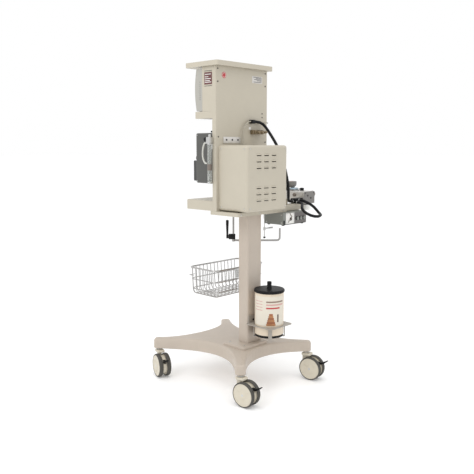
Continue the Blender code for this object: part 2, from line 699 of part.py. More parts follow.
# ---------------------------------------------------------------- breathing side
def build_breathing_head():
    x0, x1, y0, y1, z0, z1 = BLOCK
    metal = material("block_aluminium", (0.66, 0.64, 0.61), 0.35, 0.85)
    box("mount_arm", (x1 + GAP, -DECK_X - GAP, 0.0210, 0.0600, DECK_TOP - 0.0141, 0.7500), paint(), 0.003, 2)
    box("breathing_block", BLOCK, metal, 0.004, 2)
    manifold = box("hose_manifold", (x1 + GAP, -0.2290, 0.0250, 0.0560, 0.7504, 0.7720), black_plastic(),
                   0.004, 2)
    for label, at, axis in (("out", (-0.2520, 0.0500, 0.7640), "+Y"),
                            ("side", (-0.2350, 0.0405, 0.7600), "+X"),
                            ("back", (-0.2370, 0.0500, 0.7560), "+Y")):
        stub = lathe_mesh([(0.0058, -0.006), (0.0058, 0.0100)], axis, 20)
        fuse(manifold, moved(stub, at), "fuse_port_" + label)

    top = z1 + GAP
    dome = [(0.0225, top), (0.0225, top + 0.0030), (0.0205, top + 0.0035), (0.0200, top + 0.0090),
            (0.0150, top + 0.0122), (0.0, top + 0.0130)]
    lathe("valve_dome", dome, material("dome_blue_clear", (0.55, 0.66, 0.74), 0.12), (*DOME, 0), segments=36)
    gx, gy = GAUGE
    bowl = [(0.0, 0.8130), (0.0200, 0.8130), (0.0285, 0.8210), (0.0300, 0.8250), (0.0300, 0.8390),
            (0.0285, 0.8400), (0.0275, 0.8385), (0.0, 0.8385)]
    gauge = lathe("pressure_gauge", bowl, material("gauge_grey", (0.42, 0.40, 0.37), 0.4), (gx, gy, 0),
                  segments=40)
    fuse(gauge, moved(lathe_mesh([(0.0055, top), (0.0055, 0.8200)], segments=20), (0.0, -0.0230, 0.0)),
         "fuse_gauge_stalk")
    knob = [(0.0085, 0.0), (0.0085, 0.0100), (0.0070, 0.0118), (0.0, 0.0120)]
    selector = lathe("selector_knob", knob, black_plastic(), (-0.3350, 0.0065, top), segments=24)
    fuse(selector, box_mesh((-0.0020, 0.0170, -0.0030, 0.0030, 0.0040, 0.0105), 0.001, 1),
         "fuse_selector_bar")
    relief = [(0.0110, 0.0), (0.0115, 0.0010), (0.0115, 0.0110), (0.0100, 0.0125), (0.0, 0.0127)]
    lathe("pressure_limit_knob", relief, material("knob_brown", (0.22, 0.18, 0.15), 0.4),
          (x0 - GAP, 0.0440, 0.7850), "-X", 28)
    under = z0 - GAP
    cup = [(0.0, under - 0.0290), (0.0200, under - 0.0290), (0.0235, under - 0.0250),
           (0.0235, under - 0.0040),
           (0.0250, under - 0.0030), (0.0250, under)]
    lathe("absorber_bowl", cup, material("bowl_clear", (0.80, 0.80, 0.76), 0.2), (*BOWL, 0), segments=36)


def build_suction_case():
    left, right, front, rear, low, high = -0.2500, -0.1000, -0.0085, 0.0966, 0.6710, DECK_BOTTOM - GAP
    case = box("suction_case", (left, right, front, rear, low, high),
               material("case_grey", (0.45, 0.46, 0.43), 0.4, 0.3), 0.002, 1)
    for k, (x, z) in enumerate(((-0.2080, 0.6940), (-0.2300, 0.6940), (-0.1860, 0.6940))):
        socket = lathe_mesh([(0.0075, -0.004), (0.0075, 0.0080), (0.0060, 0.0095)], "+Y", 20)
        fuse(case, moved(socket, (x, rear, z)), "fuse_socket_%d" % k)
    x, y = -0.1050, -0.0130
    drain = lathe("drain_valve", [(0.0030, 0.6060), (0.0045, 0.6070), (0.0045, 0.6120), (0.0022, 0.6130),
                                  (0.0022, 0.6400), (0.0055, 0.6410), (0.0055, 0.6530), (0.0022, 0.6540),
                                  (0.0022, 0.6900), (0.0045, 0.6910), (0.0045, DECK_BOTTOM - GAP)],
                  steel(), (x, y, 0), segments=16)
    fuse(drain, moved(lathe_mesh([(0.0030, -0.002), (0.0030, 0.0300), (0.0042, 0.0320), (0.0042, 0.0520)],
                                 "-X", 16), (0, 0, 0.6470)), "fuse_drain_spout")


def build_hook():
    px, py = HOOK_PIVOT
    out = Vector((px - HOOK_END[0], py - HOOK_END[1])).normalized()
    heading = atan2(out.y, out.x)
    post = lathe("clamp_post", [(HOOK_ROD, HOOK_Z + 0.0150), (HOOK_ROD, WORKTOP[5] - WALL - GAP)],
                 material("rod_steel", (0.55, 0.55, 0.54), 0.35, 1.0), (px, py, 0), segments=16)
    post.rotation_euler = (0, 0, heading)
    hub = box_mesh((-0.0080, 0.0200, -0.0090, 0.0090, HOOK_Z + 0.0053, HOOK_Z + 0.0270), 0.002, 1)
    fuse(post, hub, "fuse_clamp_hub")
    flange = box_mesh((-0.0120, 0.0120, -0.0120, 0.0120, WORKTOP[5] - WALL - 0.0040, WORKTOP[5] - WALL - GAP))
    fuse(post, flange, "fuse_post_flange")

    reach = hypot(px - HOOK_END[0], py - HOOK_END[1])
    bend = 0.012
    arm_path = [(-0.0060, 0, 0)]
    for k in range(7):
        a = pi / 2 * k / 6
        arm_path.append((-reach + bend * (1 - sin(a)), 0, bend * (1 - cos(a))))
    arm_path.append((-reach, 0, 0.0520))
    arm = add_object("swing_arm", rod_mesh(arm_path, HOOK_ROD, 12), material("rod_steel", (0.55, 0.55, 0.54)),
                     (px, py, HOOK_Z), (0, 0, heading))
    fuse(arm, lathe_mesh([(0.0062, -0.0045), (0.0070, -0.0035), (0.0070, 0.0050)], segments=20),
         "fuse_arm_eye")
    hinge = Vector((px, py)) + out * 0.0203
    lever = lathe("clamp_lever", [(0.0080, 0.0), (0.0080, 0.0085), (0.0070, 0.0100), (0.0, 0.0100)],
                  black_plastic(), (hinge.x, hinge.y, HOOK_Z + 0.0162), "+X", 20)
    lever.rotation_euler = (0, 0, heading)
    grip = lathe_mesh([(0.0040, 0.0030), (0.0045, 0.0200), (0.0062, 0.0640), (0.0055, 0.0700), (0.0, 0.0710)],
                      segments=16)
    fuse(lever, moved(grip, (0.0055, 0, 0)), "fuse_lever_grip")


# ---------------------------------------------------------------- hoses and cable
def build_cords():
    black = material("hose_black", (0.02, 0.02, 0.02), 0.5)
    cord("rear_hose", [
        (-0.0564, -0.0335, 1.0955), (-0.0640, -0.0335, 1.0955), (-0.0860, -0.0315, 1.0950),
        (-0.1060, -0.0265, 1.0870), (-0.1180, -0.0180, 1.0715), (-0.1205, 0.0020, 1.0465),
        (-0.1200, 0.0216, 1.0232), (-0.1190, 0.0390, 1.0005), (-0.1190, 0.0620, 0.9600),
        (-0.1220, 0.0840, 0.9000), (-0.1290, 0.0940, 0.8400), (-0.1420, 0.0860, 0.8060),
        (-0.1620, 0.0700, 0.7830), (-0.1880, 0.0500, 0.7670), (-0.2120, 0.0405, 0.7601),
        (-0.2246, 0.0405, 0.7600)], HOSE_DIAMETER, black, 3)
    cord("loop_hose", [
        (-0.2520, 0.0604, 0.7640), (-0.2520, 0.0684, 0.7640), (-0.2542, 0.0811, 0.7615),
        (-0.2609, 0.0948, 0.7552), (-0.2759, 0.1108, 0.7421), (-0.2816, 0.1279, 0.7252),
        (-0.2754, 0.1478, 0.7123), (-0.2568, 0.1699, 0.7076), (-0.2223, 0.1814, 0.7046),
        (-0.1944, 0.1727, 0.7086), (-0.1800, 0.1501, 0.7206), (-0.1876, 0.1238, 0.7364),
        (-0.2264, 0.0938, 0.7523), (-0.2370, 0.0686, 0.7560), (-0.2370, 0.0606, 0.7560)],
        HOSE_DIAMETER, black, 3)
    cord("rear_cable", [
        (-0.0381, -0.0335, 1.0962), (-0.0310, -0.0335, 1.0962), (-0.0150, -0.0335, 1.0890),
        (-0.0010, -0.0335, 1.0730), (0.0050, -0.0335, 1.0530), (0.0069, -0.0330, 1.0287),
        (0.0068, -0.0325, 1.0080), (0.0068, -0.0325, 0.9999)], 0.0060,
        material("cable_grey", (0.55, 0.52, 0.46), 0.5), 3)
    x, y = FLOWMETER_X, FLOWMETER_Y
    cord("flowmeter_hose", [
        (x + 0.0040, y - 0.0155, 1.0092), (x + 0.0040, y - 0.0180, 1.0092), (x + 0.0040, y - 0.0275, 1.0030),
        (x + 0.0040, y - 0.0325, 0.9860), (x + 0.0040, y - 0.0350, 0.9690), (x + 0.0030, y - 0.0345, 0.9500),
        (x + 0.0010, y - 0.0300, 0.9345), (x, y - 0.0225, 0.9275), (x, y - 0.0180, 0.9270),
        (x, y - 0.0136, 0.9270)],
        0.0070, material("tubing_white", (0.85, 0.84, 0.78), 0.3), 3)


def main():
    clear_scene()
    build_base()
    for place, (x, y, heading) in CASTERS.items():
        build_caster(place, x, y, heading)
    build_column()
    build_basket()
    build_canister()
    build_tower()
    build_display()
    build_rear_cover()
    build_rear_fittings()
    build_worktop()
    build_vaporizer()
    build_flowmeter()
    build_breathing_head()
    build_suction_case()
    build_hook()
    build_cords()


main()
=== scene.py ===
from math import cos, pi, radians, sin, tau
import bpy
import bmesh
from mathutils import Matrix, Vector


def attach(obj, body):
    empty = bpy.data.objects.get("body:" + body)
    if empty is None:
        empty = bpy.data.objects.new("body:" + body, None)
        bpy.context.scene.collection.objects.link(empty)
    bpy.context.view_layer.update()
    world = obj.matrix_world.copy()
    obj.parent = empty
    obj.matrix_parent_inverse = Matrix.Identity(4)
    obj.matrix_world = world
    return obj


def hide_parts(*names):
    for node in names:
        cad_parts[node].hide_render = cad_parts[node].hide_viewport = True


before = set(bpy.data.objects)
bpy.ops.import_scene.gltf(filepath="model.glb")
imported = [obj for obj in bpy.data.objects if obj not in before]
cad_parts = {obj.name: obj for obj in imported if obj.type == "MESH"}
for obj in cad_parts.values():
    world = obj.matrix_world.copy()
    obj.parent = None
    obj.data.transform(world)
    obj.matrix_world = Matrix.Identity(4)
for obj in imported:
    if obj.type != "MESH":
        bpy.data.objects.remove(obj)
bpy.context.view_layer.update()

ROOT = "workstation"
REAR = -0.0436                  # outer face of the tower's rear panel
SIDE = 0.150                    # outer faces of the tower's sides
CASTERS = {"rear_right": (0.206, 0.142, 4.5), "rear_left": (-0.206, 0.142, 10.0),
           "front_right": (0.206, -0.350, -20.0), "front_left": (-0.206, -0.350, 14.0)}
HOSE_DIAMETER = 0.0120
IVORY = (0.500, 0.458, 0.372)
CASTING = (0.505, 0.437, 0.368)
WHEEL_TRAIL, WHEEL_RADIUS = 0.030, 0.050
COLUMN_TOP, COLUMN_FOOT = 0.715, 0.190
BASKET = (-0.162, 0.140, -0.229, -0.060, 0.371, 0.490)
CANISTER = (-0.0128, 0.0970)
CANISTER_SKIN = 0.0598          # just clear of the canister's wall
COVER_REAR = 0.1121             # just clear of the rear cover's back
LOUVRE_X = (0.0701, 0.0264, -0.0188)
LOUVRE_Z = (0.9595, 0.9350, 0.9100, 0.8322, 0.8076, 0.7825)
FLOWMETER = (0.1635, -0.0690)
BLOCK_TOP = 0.7995
GAUGE_FACE = (-0.3150, -0.0470, 0.8385)
BOWL = (-0.3250, 0.0330)
HOOK_PIVOT = (0.0035, -0.0923)
HOOK_END = (-0.1327, 0.0494)
HOOK_Z = 0.600
SCREEN_X, SCREEN_TRACE_Y = -0.1277, -0.15935
SCREEN_WIDTH = 0.2104
X, Y, Z = Vector((1, 0, 0)), Vector((0, 1, 0)), Vector((0, 0, 1))


# ---------------------------------------------------------------- camera, floor and light
def build_stage():
    data = bpy.data.cameras.new("camera")
    data.sensor_width = 36.0
    data.lens = 48.85
    camera = bpy.data.objects.new("camera", data)
    bpy.context.collection.objects.link(camera)
    forward = Vector((-0.71383741, -0.68624793, -0.13964214))
    up = Vector((-0.10066812, -0.09677735, 0.99020204))
    right = forward.cross(up).normalized()
    turn = Matrix((right, up, -forward)).transposed().to_4x4()
    camera.matrix_world = Matrix.Translation((1.9404, 1.7908, 0.9951)) @ turn
    bpy.context.scene.camera = camera

    bm = bmesh.new()
    bmesh.ops.create_grid(bm, x_segments=1, y_segments=1, size=60.0)
    mesh = bpy.data.meshes.new("floor")
    bm.to_mesh(mesh)
    bm.free()
    floor = bpy.data.objects.new("floor", mesh)
    bpy.context.collection.objects.link(floor)
    pale = surface("floor_pale", (0.93, 0.93, 0.93), 0.80, tint=0.01, grain=40, bump=0.0)
    shader = pale.node_tree.nodes["Principled BSDF"]
    shader.inputs["Emission Color"].default_value = (1.0, 1.0, 1.0, 1.0)
    shader.inputs["Emission Strength"].default_value = 0.12
    mesh.materials.append(pale)

    world = bpy.data.worlds.new("studio")
    world.use_nodes = True
    world.node_tree.nodes["Background"].inputs["Color"].default_value = (1.0, 1.0, 1.0, 1.0)
    world.node_tree.nodes["Background"].inputs["Strength"].default_value = 1.0
    bpy.context.scene.world = world
    for name, place, size, power in (("key", (2.6, -0.2, 2.6), 1.4, 20.0),
                                     ("top", (0.4, 0.6, 3.2), 1.6, 12.0)):
        lamp = bpy.data.lights.new(name, "AREA")
        lamp.energy = power
        lamp.size = size
        light = bpy.data.objects.new(name, lamp)
        bpy.context.collection.objects.link(light)
        light.location = place
        light.rotation_euler = (Vector((0, 0, 0.7)) - Vector(place)).to_track_quat("-Z", "Y").to_euler()
    bpy.context.scene.view_settings.view_transform = "Standard"


# ---------------------------------------------------------------- materials
def surface(name, colour, rough=0.5, metal=0.0, tint=0.05, grain=900.0, bump=0.12, stretch=(1, 1, 1),
            coat=0.0, clear=0.0, ior=1.5, grime=0.0, depth=0.00015, gloss=0.5):
    """Principled surface whose colour, roughness and relief all vary with noise in object space."""
    mat = bpy.data.materials.get(name)
    if mat:
        return mat
    mat = bpy.data.materials.new(name)
    mat.use_nodes = True
    mat.diffuse_color = (*colour, 1.0)
    tree = mat.node_tree
    add, link = tree.nodes.new, tree.links.new
    shader = tree.nodes["Principled BSDF"]
    place = add("ShaderNodeTexCoord")
    scale = add("ShaderNodeMapping")
    scale.inputs["Scale"].default_value = stretch
    link(place.outputs["Object"], scale.inputs["Vector"])

    patches = add("ShaderNodeTexNoise")
    patches.inputs["Scale"].default_value = 9.0
    patches.inputs["Detail"].default_value = 5.0
    link(place.outputs["Object"], patches.inputs["Vector"])
    fine = add("ShaderNodeTexNoise")
    fine.inputs["Scale"].default_value = grain
    fine.inputs["Detail"].default_value = 3.0
    link(scale.outputs["Vector"], fine.inputs["Vector"])

    ramp = add("ShaderNodeValToRGB")
    ramp.color_ramp.elements[0].position = 0.30
    ramp.color_ramp.elements[1].position = 0.70
    ramp.color_ramp.elements[0].color = (*[c * (1 - tint) for c in colour], 1)
    ramp.color_ramp.elements[1].color = (*[min(1.0, c * (1 + tint)) for c in colour], 1)
    link(patches.outputs["Fac"], ramp.inputs["Fac"])
    last = ramp.outputs["Color"]
    speckle = add("ShaderNodeMix")
    speckle.data_type = "RGBA"
    speckle.blend_type = "MULTIPLY"
    speckle.inputs["Factor"].default_value = min(1.0, tint * 3)
    link(last, speckle.inputs["A"])
    link(fine.outputs["Fac"], speckle.inputs["B"])
    lighten = add("ShaderNodeMix")
    lighten.data_type = "RGBA"
    lighten.inputs["Factor"].default_value = 0.55
    link(speckle.outputs["Result"], lighten.inputs["A"])
    link(last, lighten.inputs["B"])
    last = lighten.outputs["Result"]
    if grime:
        dust = add("ShaderNodeTexNoise")
        dust.inputs["Scale"].default_value = 34.0
        dust.inputs["Detail"].default_value = 8.0
        link(place.outputs["Object"], dust.inputs["Vector"])
        mask = add("ShaderNodeMapRange")
        mask.inputs["From Min"].default_value = 0.52
        mask.inputs["From Max"].default_value = 0.75
        mask.inputs["To Max"].default_value = grime
        link(dust.outputs["Fac"], mask.inputs["Value"])
        dirty = add("ShaderNodeMix")
        dirty.data_type = "RGBA"
        link(mask.outputs["Result"], dirty.inputs["Factor"])
        link(last, dirty.inputs["A"])
        dirty.inputs["B"].default_value = (*[c * 0.55 + 0.03 for c in colour], 1)
        last = dirty.outputs["Result"]
    link(last, shader.inputs["Base Color"])

    spread = add("ShaderNodeMapRange")
    spread.inputs["To Min"].default_value = max(0.02, rough * 0.80)
    spread.inputs["To Max"].default_value = min(1.0, rough * 1.20)
    link(fine.outputs["Fac"], spread.inputs["Value"])
    link(spread.outputs["Result"], shader.inputs["Roughness"])
    shader.inputs["Metallic"].default_value = metal
    shader.inputs["IOR"].default_value = ior
    shader.inputs["Specular IOR Level"].default_value = gloss
    shader.inputs["Coat Weight"].default_value = coat
    shader.inputs["Coat Roughness"].default_value = 0.15
    shader.inputs["Transmission Weight"].default_value = clear
    if bump:
        relief = add("ShaderNodeBump")
        relief.inputs["Strength"].default_value = bump
        relief.inputs["Distance"].default_value = depth
        link(fine.outputs["Fac"], relief.inputs["Height"])
        link(relief.outputs["Normal"], shader.inputs["Normal"])
    return mat


def ivory():
    return surface("ivory_powder_coat", IVORY, 0.42, tint=0.025, grain=1100, bump=0.30, grime=0.03)


def casting():
    return surface("casting_powder_coat", CASTING, 0.46, tint=0.03, grain=700, bump=0.38, grime=0.04)


def black():
    return surface("black_moulded", (0.010, 0.010, 0.011), 0.48, tint=0.15, grain=2200, bump=0.35,
                   gloss=0.18)


def cream():
    return surface("cream_nylon", (0.62, 0.57, 0.465), 0.38, tint=0.025, grain=1600, bump=0.12, grime=0.04)


def steel():
    return surface("brushed_steel", (0.62, 0.62, 0.61), 0.28, 1.0, 0.06, 260, 0.18, (1, 1, 14))


def chrome():
    return surface("plated_wire", (0.47, 0.46, 0.45), 0.22, 1.0, 0.05, 600, 0.08)


def rod():
    return surface("dull_rod", (0.42, 0.41, 0.40), 0.36, 1.0, 0.08, 500, 0.15, (1, 1, 8))


def rubber():
    return surface("tyre_rubber", (0.034, 0.029, 0.025), 0.72, tint=0.18, grain=1500, bump=0.40,
                   grime=0.10, gloss=0.15)


def paper():
    return surface("label_paper", (0.80, 0.79, 0.76), 0.55, tint=0.02, grain=1800, bump=0.10)


def dark_ink():
    return surface("ink_dark", (0.07, 0.065, 0.065), 0.55, tint=0.10, grain=1800, bump=0.05)


def red_ink():
    return surface("ink_red", (0.50, 0.045, 0.05), 0.50, tint=0.08, grain=1800, bump=0.05)


def dull():
    return surface("dark_screw", (0.10, 0.095, 0.09), 0.45, 0.8, tint=0.12, grain=900, bump=0.2)


def alloy():
    return surface("machined_alloy", (0.66, 0.64, 0.61), 0.36, 0.6, 0.06, 420, 0.22, (14, 1, 1))


def clear(name, colour, rough=0.12):
    return surface(name, colour, rough, tint=0.02, grain=300, bump=0.03, clear=0.82, ior=1.49)


# ---------------------------------------------------------------- shapes
def put(name, bm, mat, body=ROOT, crease=35.0):
    bmesh.ops.recalc_face_normals(bm, faces=bm.faces)
    mesh = bpy.data.meshes.new(name)
    bm.to_mesh(mesh)
    bm.free()
    for face in mesh.polygons:
        face.use_smooth = True
    mesh.set_sharp_from_angle(angle=radians(crease))
    item = bpy.data.objects.new(name, mesh)
    bpy.context.collection.objects.link(item)
    mesh.materials.append(mat)
    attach(item, body)
    return item


def rounded_box(x0, x1, y0, y1, z0, z1, radius=0.0008, segments=2):
    bm = bmesh.new()
    bmesh.ops.create_cube(bm, size=1.0)
    for v in bm.verts:
        v.co = Vector(((x0 + x1) / 2 + v.co.x * (x1 - x0), (y0 + y1) / 2 + v.co.y * (y1 - y0),
                       (z0 + z1) / 2 + v.co.z * (z1 - z0)))
    if radius:
        bmesh.ops.bevel(bm, geom=list(bm.edges), offset=radius, segments=segments, profile=0.5,
                        affect="EDGES")
    return bm


def turned(profile, segments=32):
    """Solid of revolution about Z; the profile is (radius, height) pairs."""
    bm = bmesh.new()
    rings = []
    for r, z in profile:
        if r < 1e-7:
            rings.append([bm.verts.new((0, 0, z))])
        else:
            rings.append([bm.verts.new((r * cos(tau * k / segments), r * sin(tau * k / segments), z))
                          for k in range(segments)])
    for low, high in zip(rings, rings[1:]):
        for k in range(segments):
            n = (k + 1) % segments
            if len(low) == 1 and len(high) == 1:
                continue
            if len(low) == 1:
                bm.faces.new((low[0], high[n], high[k]))
            elif len(high) == 1:
                bm.faces.new((low[k], low[n], high[0]))
            else:
                bm.faces.new((low[k], low[n], high[n], high[k]))
    return bm


def facing(axis, at):
    return Matrix.Translation(at) @ Vector((0, 0, 1)).rotation_difference(Vector(axis)).to_matrix().to_4x4()


def moved(bm, matrix):
    bmesh.ops.transform(bm, matrix=matrix, verts=bm.verts)
    return bm


def joined(parts):
    out = bmesh.new()
    for part in parts:
        mesh = bpy.data.meshes.new("part")
        part.to_mesh(mesh)
        part.free()
        out.from_mesh(mesh)
        bpy.data.meshes.remove(mesh)
    return out


def wire(points, radius, sides=8, closed=False):
    """Round wire swept along a path with a frame carried from point to point."""
    points = [Vector(p) for p in points]
    count = len(points)
    bm = bmesh.new()
    rings = []
    side = None
    for k, point in enumerate(points):
        ahead = points[(k + 1) % count] if closed or k < count - 1 else point
        behind = points[k - 1] if closed or k > 0 else point
        along = (ahead - behind).normalized()
        if side is None:
            side = along.orthogonal().normalized()
        side = (side - along * side.dot(along)).normalized()
        other = along.cross(side)
        rings.append([bm.verts.new(point + side * radius * cos(tau * j / sides)
                                   + other * radius * sin(tau * j / sides)) for j in range(sides)])
    for k in range(count if closed else count - 1):
        one, two = rings[k], rings[(k + 1) % count]
        shift = 0
        if closed and k == count - 1:
            shift = min(range(sides), key=lambda s: (one[0].co - two[s].co).length)
        for j in range(sides):
            bm.faces.new((one[j], one[(j + 1) % sides], two[(j + 1 + shift) % sides],
                          two[(j + shift) % sides]))
    if not closed:
        bm.faces.new(rings[0][::-1])
        bm.faces.new(rings[-1])
    return bm


def loop(x0, x1, y0, y1, z, radius, steps=6):
    points = []
    for cx, cy, start in ((x1 - radius, y1 - radius, 0), (x0 + radius, y1 - radius, 90),
                          (x0 + radius, y0 + radius, 180), (x1 - radius, y0 + radius, 270)):
        for k in range(steps + 1):
            a = radians(start + 90 * k / steps)
            points.append((cx + radius * cos(a), cy + radius * sin(a), z))
    return points


def screw(radius, height=None):
    """Pan head with a real cross recess, standing on z = 0."""
    height = height or radius * 0.55
    bm = bmesh.new()
    rings = []
    shares = (0.0, 0.12, 0.24, 0.38, 0.50, 0.62, 0.80, 0.94, 1.0)
    for share in shares[1:]:
        ring = []
        for k in range(32):
            a = tau * k / 32
            x, y = share * cos(a), share * sin(a)
            z = height * (1 - 0.35 * share * share)
            if share < 0.60 and min(abs(x), abs(y)) < 0.13:
                z -= height * 0.62
            ring.append(bm.verts.new((x * radius, y * radius, z)))
        rings.append(ring)
    base = [bm.verts.new((radius * cos(tau * k / 32), radius * sin(tau * k / 32), 0.0)) for k in range(32)]
    centre = bm.verts.new((0, 0, height * 0.38))
    for k in range(32):
        n = (k + 1) % 32
        bm.faces.new((centre, rings[0][k], rings[0][n]))
        bm.faces.new((rings[-1][k], base[k], base[n], rings[-1][n]))
    for low, high in zip(rings, rings[1:]):
        for k in range(32):
            n = (k + 1) % 32
            bm.faces.new((low[k], high[k], high[n], low[n]))
    bm.faces.new(base[::-1])
    return bm


def screws(name, places, axis, radius, mat=None, body=ROOT):
    put(name, joined([moved(screw(radius), facing(axis, p)) for p in places]), mat or steel(), body)


def skin(cx, cy, radius, a0, a1, z0, z1, thick=0.0003):
    """Sheet wrapped on an upright cylinder between two headings in degrees."""
    steps = max(4, int(abs(a1 - a0) / 4))
    bm = bmesh.new()
    columns = []
    for k in range(steps + 1):
        a = radians(a0 + (a1 - a0) * k / steps)
        columns.append([bm.verts.new((cx + r * cos(a), cy + r * sin(a), z))
                        for r in (radius, radius + thick) for z in (z0, z1)])
    for one, two in zip(columns, columns[1:]):
        for i, j in ((0, 1), (1, 3), (3, 2), (2, 0)):
            bm.faces.new((one[i], one[j], two[j], two[i]))
    for column in (columns[0], columns[-1]):
        bm.faces.new((column[0], column[1], column[3], column[2]))
    return bm


def dress(node, mat):
    """Give a CAD node its finished material."""
    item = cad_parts[node]
    for slot in item.material_slots:
        slot.material = mat


# ---------------------------------------------------------------- cords
def smooth_route(points, spacing):
    knots = [Vector(p) for p in points]
    knots = [knots[0] * 2 - knots[1]] + knots + [knots[-1] * 2 - knots[-2]]
    fine = []
    for k in range(1, len(knots) - 2):
        a, b, c, d = knots[k - 1:k + 3]
        for j in range(24):
            t = j / 24
            fine.append(0.5 * ((2 * b) + (c - a) * t + (2 * a - 5 * b + 4 * c - d) * t * t
                               + (3 * b - a - 3 * c + d) * t ** 3))
    fine.append(knots[-2])
    lengths = [0.0]
    for one, two in zip(fine, fine[1:]):
        lengths.append(lengths[-1] + (two - one).length)
    count = max(4, round(lengths[-1] / spacing))
    route, place = [], 0
    for k in range(count + 1):
        goal = lengths[-1] * k / count
        while place < len(fine) - 2 and lengths[place + 1] < goal:
            place += 1
        span = lengths[place + 1] - lengths[place]
        t = (goal - lengths[place]) / span if span > 0 else 0.0
        route.append(fine[place].lerp(fine[place + 1], min(1.0, max(0.0, t))))
    return route


def build_cord(node, points, diameter, mat):
    route = smooth_route(points, diameter * 1.5)
    curve = bpy.data.curves.new(node + "_line", "CURVE")
    curve.dimensions = "3D"
    curve.bevel_depth = diameter / 2
    curve.bevel_resolution = 5
    curve.use_fill_caps = True
    spline = curve.splines.new("POLY")
    spline.points.add(len(route) - 1)
    for target, point in zip(spline.points, route):
        target.co = (*point, 1.0)
    spline.use_smooth = True
    curve.materials.append(mat)
    item = bpy.data.objects.new(node + "_line", curve)
    bpy.context.collection.objects.link(item)
    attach(item, ROOT)
    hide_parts(node)


def build_cords():
    hose = surface("hose_rubber", (0.009, 0.009, 0.010), 0.42, tint=0.18, grain=900, bump=0.25, gloss=0.15)
    build_cord("rear_hose", [
        (-0.0564, -0.0335, 1.0955), (-0.0640, -0.0335, 1.0955), (-0.0860, -0.0315, 1.0950),
        (-0.1060, -0.0265, 1.0870), (-0.1180, -0.0180, 1.0715), (-0.1205, 0.0020, 1.0465),
        (-0.1200, 0.0216, 1.0232), (-0.1190, 0.0390, 1.0005), (-0.1190, 0.0620, 0.9600),
        (-0.1220, 0.0840, 0.9000), (-0.1290, 0.0940, 0.8400), (-0.1420, 0.0860, 0.8060),
        (-0.1620, 0.0700, 0.7830), (-0.1880, 0.0500, 0.7670), (-0.2120, 0.0405, 0.7601),
        (-0.2246, 0.0405, 0.7600)], HOSE_DIAMETER, hose)
    build_cord("loop_hose", [
        (-0.2520, 0.0604, 0.7640), (-0.2520, 0.0684, 0.7640), (-0.2542, 0.0811, 0.7615),
        (-0.2609, 0.0948, 0.7552), (-0.2759, 0.1108, 0.7421), (-0.2816, 0.1279, 0.7252),
        (-0.2754, 0.1478, 0.7123), (-0.2568, 0.1699, 0.7076), (-0.2223, 0.1814, 0.7046),
        (-0.1944, 0.1727, 0.7086), (-0.1800, 0.1501, 0.7206), (-0.1876, 0.1238, 0.7364),
        (-0.2264, 0.0938, 0.7523), (-0.2370, 0.0686, 0.7560), (-0.2370, 0.0606, 0.7560)],
        HOSE_DIAMETER, hose)
    build_cord("rear_cable", [
        (-0.0381, -0.0335, 1.0962), (-0.0310, -0.0335, 1.0962), (-0.0150, -0.0335, 1.0890),
        (-0.0010, -0.0335, 1.0730), (0.0050, -0.0335, 1.0530), (0.0069, -0.0330, 1.0287),
        (0.0068, -0.0325, 1.0080), (0.0068, -0.0325, 0.9999)], 0.0060,
        surface("cable_jacket", (0.40, 0.37, 0.30), 0.5, tint=0.06, grain=900, bump=0.2))
    x, y = FLOWMETER
    build_cord("flowmeter_hose", [
        (x + 0.0040, y - 0.0155, 1.0092), (x + 0.0040, y - 0.0180, 1.0092),
        (x + 0.0040, y - 0.0275, 1.0030),
        (x + 0.0040, y - 0.0325, 0.9860), (x + 0.0040, y - 0.0350, 0.9690),
        (x + 0.0030, y - 0.0345, 0.9500),
        (x + 0.0010, y - 0.0300, 0.9345), (x, y - 0.0225, 0.9275), (x, y - 0.0180, 0.9270),
        (x, y - 0.0136, 0.9270)], 0.0070,
        surface("tubing_milky", (0.74, 0.73, 0.67), 0.25, tint=0.03, grain=500, bump=0.08, clear=0.25))


